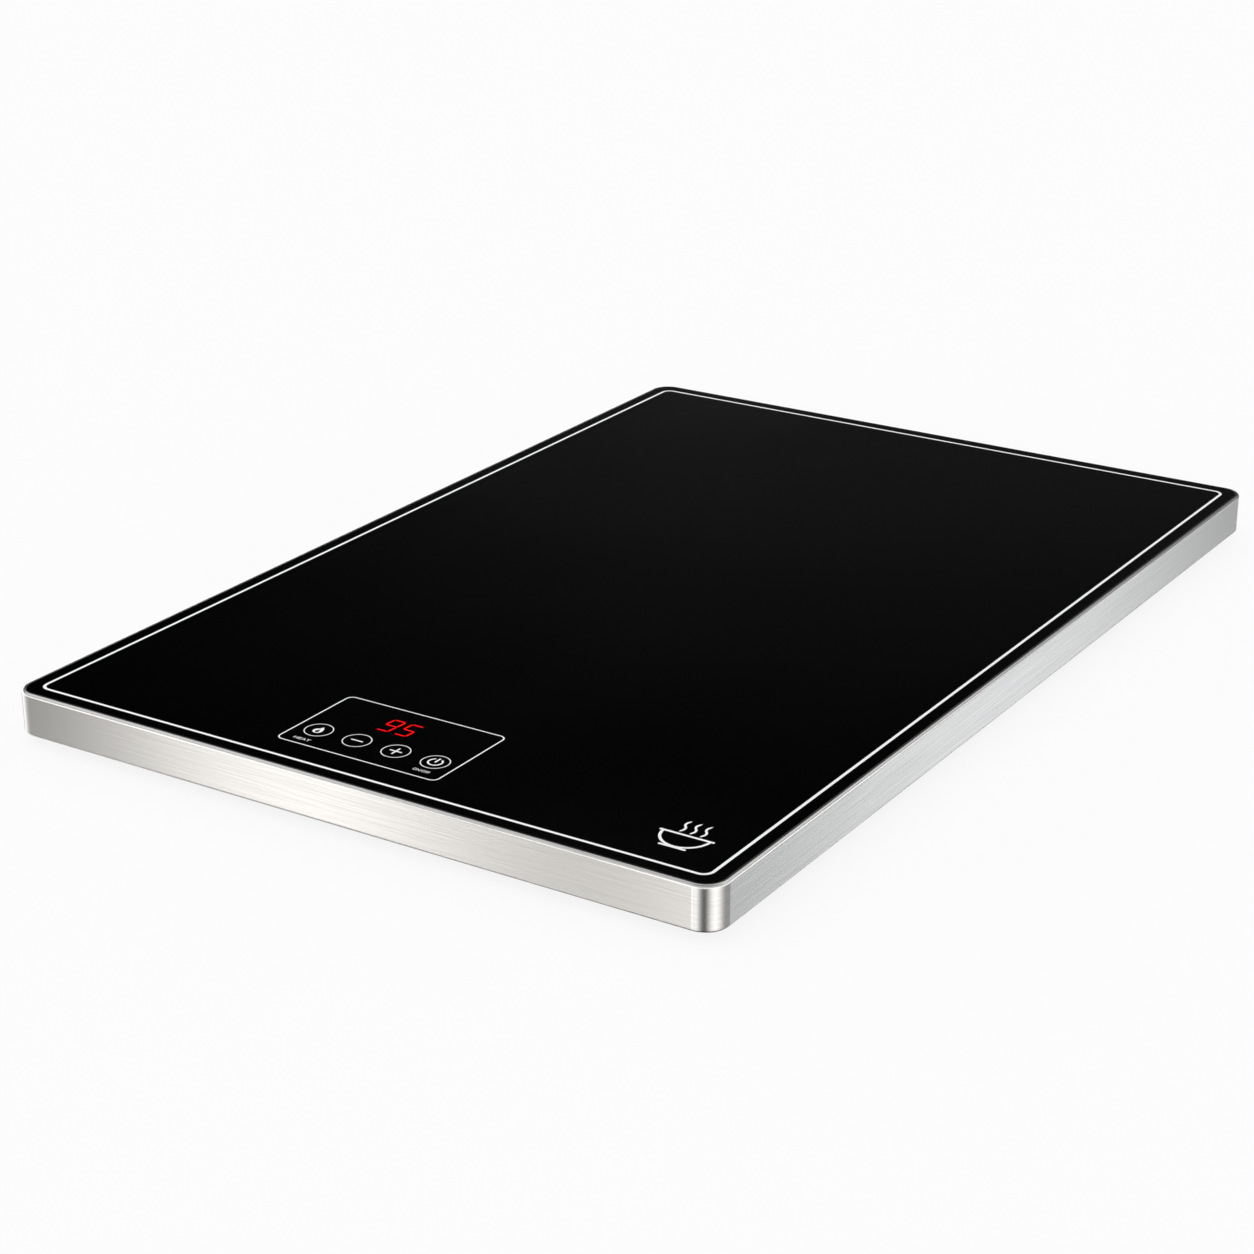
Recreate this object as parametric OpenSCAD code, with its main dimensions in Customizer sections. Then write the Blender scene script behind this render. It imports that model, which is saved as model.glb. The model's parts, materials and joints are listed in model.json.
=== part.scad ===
// Electric food warmer tray: a black glass heating plate in a brushed steel frame, with a
// touch panel printed on the glass. Millimetres, +Z up, the front edge towards -Y.
// The origin is the middle of the tray, on the surface that its feet stand on.

/* [Body] */
// Width of the tray, side to side
tray_w = 400; // [380:5:460]
// Depth of the tray, front to back
tray_d = 600; // [580:5:700]
// Height of the steel frame
frame_h = 22.5; // [22:0.5:30]
// Height of the frame above the table
foot_h = 5.5; // [4.5:0.5:12]
// Outside radius of the frame's corners
corner_r = 12; // [8:0.5:24]
// Thickness of the frame's steel sheet
sheet_t = 0.8; // [0.6:0.1:1]
// Outside radius of the frame's top edge
top_edge_r = 1.5; // [0.8:0.1:1.5]
// Outside radius of the frame's bottom edge
bottom_edge_r = 1.5; // [0.8:0.1:2]
// Width of the rim that the frame shows from below
rim_w = 4; // [3:0.5:6]
// Width of the flange that the bottom cover is screwed to, from the outer face
flange_w = 16; // [15:0.5:18]

/* [Glass] */
// Thickness of the glass
glass_t = 4; // [3:0.5:4.5]
// Thickness of the silicone bed under the glass
seal_t = 0.8; // [0.5:0.1:1.2]
// Radius of the glass's ground top edge
glass_edge_r = 0.4; // [0.2:0.1:0.6]
// Width of the silicone joint round the glass
seal_gap = 0.5; // [0.3:0.1:0.8]
// Width of the ledge under the glass
ledge_w = 9; // [6:0.5:10]
// Depth of the printed ink in the glass
ink_t = 0.1; // [0.05:0.05:0.2]

/* [Printed marks] */
// Distance from the tray's edge to the middle of the border line
border_inset = 10; // [8:0.5:16]
// Width of the border line
border_line = 1.6; // [0.8:0.1:2.4]
// Radius of the border line's corners
border_r = 5; // [3:0.5:10]
// Width of the control panel's outline
panel_w = 92; // [91:1:104]
// Depth of the control panel's outline
panel_d = 57; // [54:1:62]
// Panel's middle, sideways from the tray's middle
panel_x = -9; // [-16:1:2]
// Distance from the tray's front edge to the panel's outline
panel_front = 25; // [22:1:29]
// Width of the panel's printed line
panel_line = 0.7; // [0.5:0.1:1.4]
// Radius of the panel's corners
panel_r = 3.5; // [2:0.5:6]
// Outside diameter of a touch key's ring
key_d = 14.4; // [12:0.2:16]
// Distance between touch keys
key_pitch = 22.6; // [18:0.2:23]
// Distance from the panel's front line to the middle of the keys
key_y = 17; // [14:0.5:19]
// Width of a ring's line
key_line = 0.5; // [0.4:0.1:1]
// Length of the plus and minus signs' strokes
sign_len = 7; // [5:0.2:8]
// Width of the plus and minus signs' strokes
sign_line = 0.9; // [0.6:0.1:1.4]
// Height of a display digit
digit_h = 13.8; // [12:0.2:14.4]
// Width of a display digit
digit_w = 7.4; // [6:0.2:8]
// Distance between digits
digit_pitch = 10.4; // [9.8:0.2:11]
// Width of a digit's segments
segment_w = 1; // [0.8:0.1:1.6]
// Slant of the digits, in degrees
digit_slant = 6; // [0:1:10]
// Width of the hot bowl sign in the front corner
mark_w = 28; // [22:1:32]
// Distance from the tray's side to the middle of the bowl sign
mark_side = 37.5; // [32:0.5:50]
// Width of the bowl sign's lines
mark_line = 1.4; // [0.8:0.1:1.8]

/* [Bottom] */
// Thickness of the bottom cover
cover_t = 0.8; // [0.6:0.1:1]
// Gap between the cover and the frame's rim
cover_gap = 0.3; // [0.2:0.1:0.6]
// Diameter of a foot at its top
foot_d = 24; // [20:1:26]
// Distance from the tray's edges to a foot's middle
foot_inset = 30; // [29:0.5:31]
// Length of a ventilation slot
slot_len = 30; // [20:1:34]
// Width of a ventilation slot
slot_w = 3; // [2:0.5:4]
// Distance between ventilation slots
slot_pitch = 7; // [6:0.5:8]

/* [Heater] */
// Thickness of the aluminium heat spreader
spreader_t = 1; // [0.5:0.1:1.2]
// Diameter of the heating cable
cable_d = 2.4; // [2:0.1:2.8]
// Distance between the heating cable's runs
cable_pitch = 22; // [18:1:26]
// Height of the air gap under the heat shield
air_gap = 4; // [3.5:0.5:5]
// Thickness of the heat shield
shield_t = 0.5; // [0.4:0.1:0.8]
// Depth of the rear strip that holds the mains inlet
rear_strip = 38; // [37:1:45]
// Depth of the wiring corridor between the power board and the heat barrier
corridor_d = 13; // [13:0.5:20]

/* [Electronics] */
// Thickness of the circuit boards
pcb_t = 1.6; // [1.2:0.2:1.6]
// Height of the display module
display_h = 8; // [7:0.5:8]
// Height of the power board's posts
post_h = 3; // [2.6:0.1:3.2]
// Width of the power board
power_w = 94; // [92:1:97]
// Depth of the power board
power_d = 66; // [65:0.5:67]
// Diameter of the mains wires
wire_d = 2.6; // [2:0.1:2.8]
// Closing angle of the relay's armature, in degrees
armature_deg = 4; // [3:0.5:5]

/* [Mains inlet] */
// Distance from the tray's left side to the inlet's middle
inlet_side = 70; // [66:1:90]
// Height of the inlet's body
inlet_h = 13.8; // [13.4:0.1:14]
// Width of the inlet's body
inlet_w = 20.5; // [20:0.1:22]
// Distance between the inlet's screws
inlet_screw_pitch = 29; // [28.5:0.5:32]
// Depth of the inlet's socket
socket_depth = 15; // [14:0.5:16]

/* [Hidden] */
$fn = 48;
eps = 0.01;

// Heights, from the table up
frame_z = foot_h;
cover_top_z = frame_z + cover_t;
flange_top_z = cover_top_z + sheet_t;
top_z = frame_z + frame_h;
glass_z = top_z - glass_t;
ledge_top_z = glass_z - seal_t;
ledge_z = ledge_top_z - sheet_t;
seal_sink = 0.3;
spreader_z = glass_z - spreader_t;
cable_gap = 0.05;
cable_z = spreader_z - cable_gap - cable_d / 2;
mat_top_z = cable_z - cable_d / 2 - cable_gap;
shield_z = cover_top_z + air_gap;
mat_z = shield_z + shield_t;

// Glass and what is printed in it. The lip round it is the frame's sheet, folded back flat on itself.
lip_w = 2 * sheet_t;
glass_inset = lip_w + seal_gap;
ledge_in = glass_inset + ledge_w;
opening_r = 4;
panel_y = panel_front - tray_d / 2 + panel_d / 2;
key_row_y = panel_y - panel_d / 2 + key_y;
display_side = 2.8;
display_up = 22.1;
display_x = panel_x - display_side;
display_y = key_row_y + display_up;
mark_x = tray_w / 2 - mark_side;
mark_y = panel_front - tray_d / 2;
bowl_r = mark_w * 0.45;
wave_r = 3.6;
wave_side = wave_r * cos(45);

// Screws: radius, clearance hole, head
m3_r = 1.5;
m3_hole_r = 1.7;
m3_head_r = 2.8;
m3_head_h = 1.8;
m4_r = 2;
m4_hole_r = 2.2;
m4_head_r = 3.9;
m4_head_h = 2;
m4_nut = 7;
m4_nut_h = 3.2;

// Bottom cover, its screws and the feet
cover_inset = rim_w + cover_gap;
cover_screw_inset = rim_w + 4.4;
screw_rows_y = [-0.445, -0.15, 0.15, 0.445];
screw_rows_x = [-0.24, 0.24];
foot_x = tray_w / 2 - foot_inset;
foot_y = tray_d / 2 - foot_inset;
foot_taper = 3;
foot_bore_r = 4.8;
foot_floor = 2.6;
slots = 7;

// Heated part
flange_gap = 2;
hot_w = tray_w - 2 * (flange_w + flange_gap);
hot_front_y = flange_w + flange_gap + power_d + corridor_d - tray_d / 2;
hot_rear_y = tray_d / 2 - rear_strip;
service_strip = 36;
service_y = hot_front_y + service_strip / 2;
mat_front_y = hot_front_y + service_strip;
cable_margin = 10;
cable_turns = 2 * floor((hot_w - 2 * cable_margin) / cable_pitch / 2) + 2;
cable_side_x = (cable_turns - 1) * cable_pitch / 2;
cable_front_y = mat_front_y + cable_margin + cable_pitch / 2;
cable_rear_y = hot_rear_y - cable_margin - cable_pitch / 2;
post_xs = [-0.4 * hot_w, 0.4 * hot_w];
post_ys = [for (k = [0.08, 0.36, 0.64, 0.92]) mat_front_y + k * (hot_rear_y - mat_front_y)];
spacer_r = 4;
barrier_t = 0.8;
barrier_foot = 9;
barrier_gap = 0.3;

// Boards
control_over_w = 8;
control_under_d = 3;
control_w = panel_w + control_over_w;
control_d = panel_d - control_under_d;
module_gap = 0.2;
control_top_z = glass_z - module_gap - display_h;
control_z = control_top_z - pcb_t;
board_hole = 3.5;
post_r = 3;
board_gap = 15;
power_x = panel_x + control_w / 2 + board_gap + power_w / 2;
power_y = flange_w + flange_gap - tray_d / 2 + power_d / 2;
power_z = cover_top_z + post_h;
power_top_z = power_z + pcb_t;
power_left_x = power_x - power_w / 2;
power_rear_y = power_y + power_d / 2;
display_w = 25;
display_d = 19;
pad_r = 4.5;
chip_side = 10;
chip_h = 1.4;
chip_side_x = 28;
chip_x = panel_x + chip_side_x;
chip_y = display_y;
beeper_r = 6;
beeper_h = 6.5;
beeper_side = 32;
beeper_x = panel_x - beeper_side;
connector_w = 6;
connector_d = 11;
connector_h = 6;
connector_y = panel_y;
connector_inset = 1;
control_connector_x = panel_x + control_w / 2 - connector_w / 2 - connector_inset;
power_connector_x = power_left_x + connector_w / 2 + connector_inset;

// Mains inlet: two pins above, the earth pin below
inlet_x = inlet_side - tray_w / 2;
inlet_face_y = tray_d / 2;
inlet_z = (flange_top_z + ledge_z) / 2;
inlet_flange_t = 2.2;
inlet_ear = 4.5;
inlet_flange_w = inlet_screw_pitch + 2 * inlet_ear;
inlet_play = 0.2;
inlet_wall = 2;
nose_step = 0.4;
nose_h = inlet_h - 2 * nose_step;
lobe_r = 4;
lobe_x = 4.6;
pin_r = 1.2;
pin_x = 5;
pin_up = 2;
earth_down = 2.4;
pin_out = 9;
tab_len = 7;
tab_w = 4;
tab_t = 0.8;
inlet_back_y = inlet_face_y - socket_depth - inlet_wall;
tab_end_y = inlet_back_y - tab_len;

// Wires, all on one level: the channel along the left side, the corridor before the barrier
wire_z = inlet_z + pin_up;
wire_step = 3.5;
bend_r = 3;
lead_bend_r = 2;
channel_x = flange_w - tray_w / 2 - wire_step;
corridor_y = hot_front_y - wire_step;
tab_clear = 8;
inlet_run_y = tab_end_y - tab_clear;
clip_ys = [-0.3, 0, 0.3];
clip_w = 10;
clip_d = 6;

// Terminal block on the power board
poles = 4;
pole_pitch = 5;
block_d = 8;
block_over = 4.5;
block_h = wire_z - power_top_z + block_over;
block_side = 9;
pole_x = power_left_x + block_side + pole_pitch / 2;
block_inset = 1;
block_rear_y = power_rear_y - block_inset;
pole_play = 0.3;
pole_hole_r = max(wire_d, cable_d) / 2 + pole_play;
wire_in = 4;

// Thermal cut-out, and the sensor beside it
cutout_side = 23;
cutout_x = pole_x + (poles - 1) * pole_pitch + cutout_side;
cutout_ear_pitch = 23.8;
cutout_ear_r = 3.2;
cutout_ear_t = 0.8;
cutout_tab_x = 13;
sensor_side = 36;
sensor_x = panel_x - sensor_side;
sensor_r = 1.9;
sensor_half = 7;
sensor_z = spreader_z - sensor_r - cable_gap;
clip_hole_x = 6.5;

// Parts of the power board
fuse_r = 2.6;
fuse_len = 20;
fuse_up = 1;
fuse_inset = 5;
part_side = 10;
part_x = cutout_x + part_side;
fuse_y = block_rear_y - fuse_inset;
fuse_z = power_top_z + fuse_r + fuse_up;
line_cap_back = 12.5;
line_cap_y = fuse_y - line_cap_back;
transformer_side = 24;
transformer_back = 13;
transformer_x = part_x + transformer_side;
transformer_y = line_cap_y - transformer_back;
filter_side = 2;
filter_back = 16;
filter_x = part_x - filter_side;
filter_y = power_y - filter_back;

// Relay: its origin is the middle of its base, on the board
relay_side = 24;
relay_back = 3;
relay_x = power_left_x + relay_side;
relay_y = power_y - relay_back;
relay_w = 18;
relay_d = 10.4;
relay_h = 11.8;
relay_wall = 0.5;
relay_base_h = 1.4;
steel_t = 0.8;
coil_x = -2.4;
coil_r = 3.5;
coil_h = 6.2;
core_r = 1.4;
yoke_x = 3.4;
steel_w = 7;
pole_z = relay_base_h + steel_t + coil_h;
pole_gap = 0.1;
hinge_r = 0.28;
hinge_play = 0.03;
plate_over_hinge = 0.06;
hinge_x = yoke_x + steel_t / 2;
hinge_z = pole_z + pole_gap - plate_over_hinge;
plate_z = hinge_z + plate_over_hinge;
contact_x = -7.3;
contact_r = 0.7;
contact_h = 0.4;
contact_gap = 0.1;
leaf_t = 0.4;

// Earth bolt in the bottom cover, by the inlet
earth_side = 36;
earth_back = 1;
earth_x = inlet_x + earth_side;
earth_y = inlet_run_y + earth_back;
ring_r = 4.2;
ring_t = 1;
ring_z = inlet_z - earth_down - ring_t / 2;

// ---- Shared shapes ----

module rounded_rect(w, d, r) {
    square([w, d - 2 * r], center = true);
    square([w - 2 * r, d], center = true);
    for (x = [-1, 1], y = [-1, 1])
        translate([x * (w / 2 - r), y * (d / 2 - r)]) circle(r);
}

// The tray's outline taken in by an inset: its corner radius shrinks with it
module tray_outline(inset, r = 0)
    rounded_rect(tray_w - 2 * inset, tray_d - 2 * inset, r > 0 ? r : corner_r - inset);

module band(outer, inner, z, h, inner_r = 0)
    translate([0, 0, z]) linear_extrude(h) difference() {
        tray_outline(outer);
        tray_outline(inner, inner_r);
    }

// A closed line round a rectangle
module line_rect(w, d, r, t) difference() {
    rounded_rect(w + t, d + t, r + t / 2);
    rounded_rect(w - t, d - t, r - t / 2);
}

module ring(d, t) difference() {
    circle(d = d);
    circle(d = d - 2 * t);
}

// A bar with round ends
module bar(len, t) {
    square([len - t, t], center = true);
    for (x = [-1, 1]) translate([x * (len - t) / 2, 0]) circle(d = t);
}

// What a square corner loses when it is rounded
module corner_cut(r) difference() {
    translate([-eps, -eps]) square(r + eps);
    translate([r, r]) circle(r);
}

module block(w, d, h) translate([-w / 2, -d / 2, 0]) cube([w, d, h]);

module tube(r, bore_r, h) difference() {
    cylinder(r = r, h = h);
    translate([0, 0, -1]) cylinder(r = bore_r, h = h + 2);
}

// A screw with a cross in its domed head: the head above z = 0, the shank below
module pan_screw(r, head_r, head_h, len) {
    dome_h = head_h * 0.6;
    dome_r = (head_r * head_r + dome_h * dome_h) / (2 * dome_h);
    difference() {
        intersection() {
            cylinder(r = head_r, h = head_h);
            translate([0, 0, head_h - dome_r]) sphere(dome_r);
        }
        for (a = [0, 90]) rotate(a)
            translate([-head_r / 2, -0.35, head_h - 1]) cube([head_r, 0.7, 2]);
    }
    translate([0, 0, -len]) cylinder(r = r, h = len + eps);
}

module m3_screw(len) pan_screw(m3_r, m3_head_r, m3_head_h, len);

// A screw driven up from below
module m3_screw_up(len) rotate([180, 0, 0]) m3_screw(len);

module hex_nut(across, bore_r, h) difference() {
    cylinder(d = across / cos(30), h = h, $fn = 6);
    translate([0, 0, -1]) cylinder(r = bore_r, h = h + 2);
}

function unit(v) = v / norm(v);
function turn_deg(u, v) = acos(u * v);
function trim_len(u, v, r) = r * tan(turn_deg(u, v) / 2);

// One bend of a wire about a corner, from direction u to direction v
module bend(corner, u, v, r, d) {
    n = unit(cross(u, v));
    start = corner - u * trim_len(u, v, r);
    out = cross(u, n);
    centre = start - r * out;
    multmatrix([
        [out[0], u[0], n[0], centre[0]],
        [out[1], u[1], n[1], centre[1]],
        [out[2], u[2], n[2], centre[2]],
        [0, 0, 0, 1]
    ]) rotate_extrude(angle = turn_deg(u, v)) translate([r, 0]) circle(d = d);
}

module rod(from, to, d) {
    v = to - from;
    translate(from) rotate([0, acos(v[2] / norm(v)), atan2(v[1], v[0])]) cylinder(d = d, h = norm(v));
}

// A wire along a list of points, with a round bend at each inner one
module wire(p, d, r = bend_r) {
    n = len(p);
    dir = [for (i = [0:n - 2]) unit(p[i + 1] - p[i])];
    trim = [for (i = [0:n - 1]) i == 0 || i == n - 1 ? 0 : trim_len(dir[i - 1], dir[i], r)];
    for (i = [0:n - 2]) rod(p[i] + dir[i] * trim[i], p[i + 1] - dir[i] * trim[i + 1], d);
    if (n > 2) for (i = [1:n - 2]) bend(p[i], dir[i - 1], dir[i], r, d);
}

module at_cover_screws() {
    for (k = screw_rows_y, s = [-1, 1])
        translate([s * (tray_w / 2 - cover_screw_inset), k * tray_d, 0]) children();
    for (k = screw_rows_x, s = [-1, 1])
        translate([k * tray_w, s * (tray_d / 2 - cover_screw_inset), 0]) children();
}

module at_feet() for (x = [-1, 1], y = [-1, 1]) translate([x * foot_x, y * foot_y, 0]) children();

module at_posts() for (x = post_xs, y = post_ys) translate([x, y, 0]) children();

module at_barrier_screws() for (x = post_xs) translate([x, hot_front_y - barrier_foot / 2, 0]) children();

module at_keys()
    for (i = [0:3]) translate([panel_x + (i - 1.5) * key_pitch, key_row_y, 0]) children();

module at_board_holes(x, y, w, d) for (i = [-1, 1], j = [-1, 1])
    translate([x + i * (w / 2 - board_hole), y + j * (d / 2 - board_hole), 0]) children();

module at_control_holes() at_board_holes(panel_x, panel_y, control_w, control_d) children();
module at_power_holes() at_board_holes(power_x, power_y, power_w, power_d) children();

// ---- Frame ----

// The frame's section: x runs inwards from its outer face, y is the height
module frame_section() difference() {
    union() {
        translate([0, frame_z]) square([sheet_t, frame_h]);
        translate([0, ledge_z]) square([lip_w, top_z - ledge_z]);
        translate([0, frame_z]) square([rim_w, sheet_t]);
        translate([rim_w - sheet_t, frame_z]) square([sheet_t, cover_t + sheet_t]);
        translate([sheet_t - eps, frame_z + sheet_t - eps]) corner_cut(bottom_edge_r - sheet_t / 2);
    }
    translate([0, frame_z]) corner_cut(bottom_edge_r);
    translate([0, top_z]) mirror([0, 1]) corner_cut(top_edge_r);
}

// Carries a section round the frame: four straight sides and four round corners
module round_the_frame() {
    for (s = [0, 180]) rotate(s) {
        translate([corner_r - tray_w / 2, -tray_d / 2, 0]) rotate([90, 0, 90])
            linear_extrude(tray_w - 2 * corner_r) children();
        translate([tray_w / 2, corner_r - tray_d / 2, 0]) rotate([90, 0, 180])
            linear_extrude(tray_d - 2 * corner_r) children();
    }
    for (x = [-1, 1], y = [-1, 1])
        translate([x * (tray_w / 2 - corner_r), y * (tray_d / 2 - corner_r), 0])
            rotate(x > 0 ? (y > 0 ? 0 : -90) : (y > 0 ? 90 : 180))
                rotate_extrude(angle = 90) translate([corner_r, 0]) mirror([1, 0]) children();
}

module at_inlet() translate([inlet_x, inlet_face_y, inlet_z]) children();

module at_inlet_screws() at_inlet()
    for (s = [-1, 1]) translate([s * inlet_screw_pitch / 2, 0, 0]) rotate([90, 0, 0]) children();

module side_frame() color("silver") difference() {
    union() {
        round_the_frame() frame_section();
        band(lip_w - sheet_t / 2, ledge_in, ledge_z, sheet_t, opening_r);
        band(rim_w - sheet_t, flange_w, cover_top_z, sheet_t, opening_r);
    }
    at_cover_screws() translate([0, 0, frame_z]) cylinder(r = m3_r, h = 4);
    at_inlet() translate([0, -rim_w / 2, 0])
        cube([inlet_w + 2 * inlet_play, rim_w + 2, nose_h + 2 * inlet_play], center = true);
    at_inlet_screws() translate([0, 0, -1]) cylinder(r = m3_r, h = 1 + lip_w);
}

// ---- Glass and the marks printed in it ----

module border_shape() line_rect(tray_w - 2 * border_inset, tray_d - 2 * border_inset, border_r, border_line);

// A flame: a round body drawn up to a tip, with a small flame left open inside it
module flame_sign() difference() {
    union() {
        circle(2.5);
        polygon([[-2.5, 0], [-0.7, 2], [0.3, 4.6], [1.8, 2.6], [2.5, 0]]);
    }
    translate([0.1, -0.7]) circle(1.1);
    polygon([[-1, -0.7], [0.2, 1.9], [1.2, -0.7]]);
}

// A circle open at the top, with a bar in the opening
module power_sign() {
    difference() {
        ring(7.8, 0.9);
        translate([0, 3]) square([3.4, 4], center = true);
    }
    translate([0, 1.9]) rotate(90) bar(4.8, 0.9);
}

module panel_shape() {
    translate([panel_x, panel_y]) line_rect(panel_w, panel_d, panel_r, panel_line);
    at_keys() ring(key_d, key_line);
    translate([panel_x - 1.5 * key_pitch, key_row_y - 0.9]) flame_sign();
    translate([panel_x - key_pitch / 2, key_row_y]) bar(sign_len, sign_line);
    translate([panel_x + key_pitch / 2, key_row_y]) {
        bar(sign_len, sign_line);
        rotate(90) bar(sign_len, sign_line);
    }
    translate([panel_x + 1.5 * key_pitch, key_row_y]) power_sign();
}

// Half of a wave: an arc of a quarter turn that bulges to the right of x = 0
module half_wave() translate([-wave_side, 0]) intersection() {
    ring(2 * wave_r + mark_line * 0.8, mark_line * 0.8);
    translate([wave_side, -wave_r]) square([wave_r, 2 * wave_r]);
}

// A sign for hot food: a bowl on its foot under three rising waves
module mark_shape() translate([mark_x, mark_y]) {
    translate([0, bowl_r + mark_line / 2]) {
        bar(mark_w, mark_line);
        difference() {
            circle(bowl_r);
            circle(bowl_r - mark_line);
            translate([-bowl_r - 1, 0]) square(2 * bowl_r + 2);
        }
        for (i = [-1:1]) translate([i * mark_w * 0.19, mark_line + 1]) {
            translate([0, wave_side]) half_wave();
            translate([0, 3 * wave_side]) rotate(180) half_wave();
        }
    }
    translate([0, mark_line / 2]) bar(mark_w * 0.5, mark_line);
}

// Points of a display segment along +X, pointed at both ends
function segment_points(len) = [for (s = [1, -1]) each [
    [s * (len - segment_w) / 2, -s * segment_w / 2],
    [s * len / 2, 0],
    [s * (len - segment_w) / 2, s * segment_w / 2]
]];

// Middle and direction of the seven segments: three across, then the four uprights
function segment_places(w, h) = [
    [0, h / 2, 0], [0, 0, 0], [0, -h / 2, 0],
    [-w / 2, h / 4, 90], [w / 2, h / 4, 90], [-w / 2, -h / 4, 90], [w / 2, -h / 4, 90]
];
function turned(p, a) = [p[0] * cos(a) - p[1] * sin(a), p[0] * sin(a) + p[1] * cos(a)];
function slanted(p) = [p[0] + p[1] * tan(digit_slant), p[1]];

// One digit, from a list of which segments are lit
module digit(lit) {
    w = digit_w - segment_w;
    h = digit_h - segment_w;
    places = segment_places(w, h);
    for (i = [0:6]) if (lit[i]) {
        len = (places[i][2] == 0 ? w : h / 2) - 0.3;
        polygon([for (p = segment_points(len))
            slanted(turned(p, places[i][2]) + [places[i][0], places[i][1]])]);
    }
}

nine = [true, true, true, true, true, false, true];
five = [true, true, true, true, false, false, true];
eight = [for (i = [0:6]) true];

module digits_shape(left, right) translate([display_x, display_y]) {
    translate([-digit_pitch / 2, 0]) digit(left);
    translate([digit_pitch / 2, 0]) digit(right);
}

module ink() translate([0, 0, top_z - ink_t]) linear_extrude(ink_t) children();

module border_print() color("white") ink() border_shape();
module panel_print() color("white") ink() panel_shape();
module heat_mark() color("white") ink() mark_shape();
module display_digits() color("red") ink() digits_shape(nine, five);

module glass_top() color([0.03, 0.03, 0.033]) difference() {
    translate([0, 0, glass_z]) linear_extrude(glass_t) tray_outline(glass_inset);
    round_the_frame() translate([glass_inset, top_z]) mirror([0, 1]) corner_cut(glass_edge_r);
    translate([0, 0, top_z - ink_t]) linear_extrude(ink_t + 1) {
        border_shape();
        panel_shape();
        mark_shape();
        digits_shape(nine, five);
    }
}

module glass_seal() color([0.06, 0.06, 0.06]) {
    band(lip_w, ledge_in, ledge_top_z, seal_t, opening_r);
    band(lip_w, glass_inset, glass_z - eps, glass_t - seal_sink);
}

// ---- Bottom cover and feet ----

module slot_row(x, y) for (i = [0:slots - 1])
    translate([x, y + (i - (slots - 1) / 2) * slot_pitch]) bar(slot_len, slot_w);

module bottom_cover() color("gainsboro") translate([0, 0, frame_z]) linear_extrude(cover_t) difference() {
    tray_outline(cover_inset);
    for (s = [-1, 1]) slot_row(power_x + s * (slot_len / 2 + 8), power_y);
    slot_row(panel_x, panel_y);
    at_cover_screws() circle(m3_hole_r);
    at_posts() circle(m3_hole_r);
    at_barrier_screws() circle(m3_hole_r);
    at_feet() circle(m4_hole_r);
    translate([earth_x, earth_y]) circle(m4_hole_r);
}

module cover_screws() color("silver") at_cover_screws() translate([0, 0, frame_z]) m3_screw_up(5);

module foot(x, y) color([0.08, 0.08, 0.08]) translate([x * foot_x, y * foot_y, 0]) difference() {
    cylinder(d1 = foot_d - foot_taper, d2 = foot_d, h = foot_h);
    translate([0, 0, -1]) cylinder(r = foot_bore_r, h = foot_floor + 1);
    cylinder(r = m4_hole_r, h = foot_h + 1);
}

module foot_front_left() foot(-1, -1);
module foot_front_right() foot(1, -1);
module foot_rear_left() foot(-1, 1);
module foot_rear_right() foot(1, 1);

module foot_screws() color("silver") at_feet() translate([0, 0, foot_floor]) rotate([180, 0, 0])
    pan_screw(m4_r, m4_head_r, m4_head_h, cover_top_z - foot_floor + m4_nut_h);

module foot_nuts() color("silver") at_feet() translate([0, 0, cover_top_z]) hex_nut(m4_nut, m4_r, m4_nut_h);

// ---- Heated part ----

module hot_plate(front_y, z, h)
    translate([-hot_w / 2, front_y, z]) cube([hot_w, hot_rear_y - front_y, h]);

module at_plate_screws() {
    for (s = [-1, 1]) translate([cutout_x + s * cutout_ear_pitch / 2, service_y, spreader_z]) children();
    translate([sensor_x + clip_hole_x, service_y, spreader_z]) children();
}

module heat_spreader() color([0.8, 0.8, 0.82]) difference() {
    hot_plate(hot_front_y + 1, spreader_z, spreader_t);
    at_plate_screws() translate([0, 0, -1]) cylinder(r = m3_r, h = spreader_t + 2);
}

function cable_x(i) = i * cable_pitch - cable_side_x;

module heating_cable() color([0.75, 0.2, 0.12]) {
    for (i = [0:cable_turns - 1]) {
        front_y = i == 0 || i == cable_turns - 1 ? mat_front_y : cable_front_y;
        rod([cable_x(i), front_y, cable_z], [cable_x(i), cable_rear_y, cable_z], cable_d);
    }
    for (i = [0:cable_turns - 2]) {
        rear = i % 2 == 0;
        translate([cable_x(i + 0.5), rear ? cable_rear_y : cable_front_y, cable_z])
            rotate(rear ? 0 : 180) rotate_extrude(angle = 180)
                translate([cable_pitch / 2, 0]) circle(d = cable_d);
    }
}

module insulation_mat() color("ivory") difference() {
    hot_plate(mat_front_y, mat_z, mat_top_z - mat_z);
    at_posts() translate([0, 0, mat_z - 1]) cylinder(r = spacer_r, h = 5);
}

module heat_shield() color([0.7, 0.7, 0.7]) difference() {
    hot_plate(mat_front_y, shield_z, shield_t);
    at_posts() translate([0, 0, shield_z - 1]) cylinder(r = m3_r, h = 3);
}

module shield_spacers() color("gold") at_posts()
    translate([0, 0, cover_top_z]) tube(spacer_r, m3_hole_r, air_gap);

module shield_screws() color("silver") at_posts()
    translate([0, 0, frame_z]) m3_screw_up(mat_z - frame_z + 2.5);

// Openings in the barrier, for the heater's leads and for the sensor's leads
module barrier_openings() {
    translate([pole_x + (poles - 1.5) * pole_pitch, hot_front_y, wire_z])
        cube([pole_pitch + 6, 4, 7], center = true);
    translate([sensor_x, hot_front_y, glass_z])
        cube([6, 4, 2 * (glass_z - sensor_z) + 3], center = true);
}

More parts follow.
